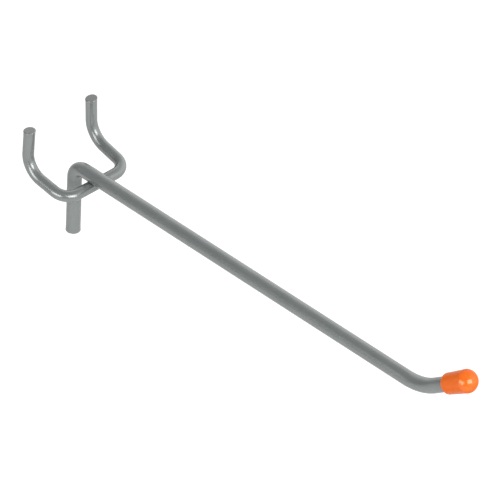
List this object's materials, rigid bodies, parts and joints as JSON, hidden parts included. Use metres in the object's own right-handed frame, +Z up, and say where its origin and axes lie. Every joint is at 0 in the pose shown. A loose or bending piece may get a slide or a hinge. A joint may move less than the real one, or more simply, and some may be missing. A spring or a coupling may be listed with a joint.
{
  "type": "pegboard hook",
  "caption": "Wire hook for perforated board: a hanging arm with a raised, capped tip, welded to a bent wire bracket whose prongs hook behind the board.",
  "frame": {"origin": "on the board's front face, midway between the two peg holes", "axes": "+X along the board, +Y back through the board, +Z up; the arm reaches forward along -Y"},
  "size_m": [0.0286, 0.1677, 0.0444],
  "materials": {
    "coated_wire": "smooth glossy silver-grey coat over steel wire",
    "soft_cap": "soft orange vinyl with a gentle gloss"
  },
  "bodies": {
    "root": {"arm_wire": "coated_wire", "prong_bracket": "coated_wire", "end_cap": "soft_cap"}
  },
  "joints": []
}
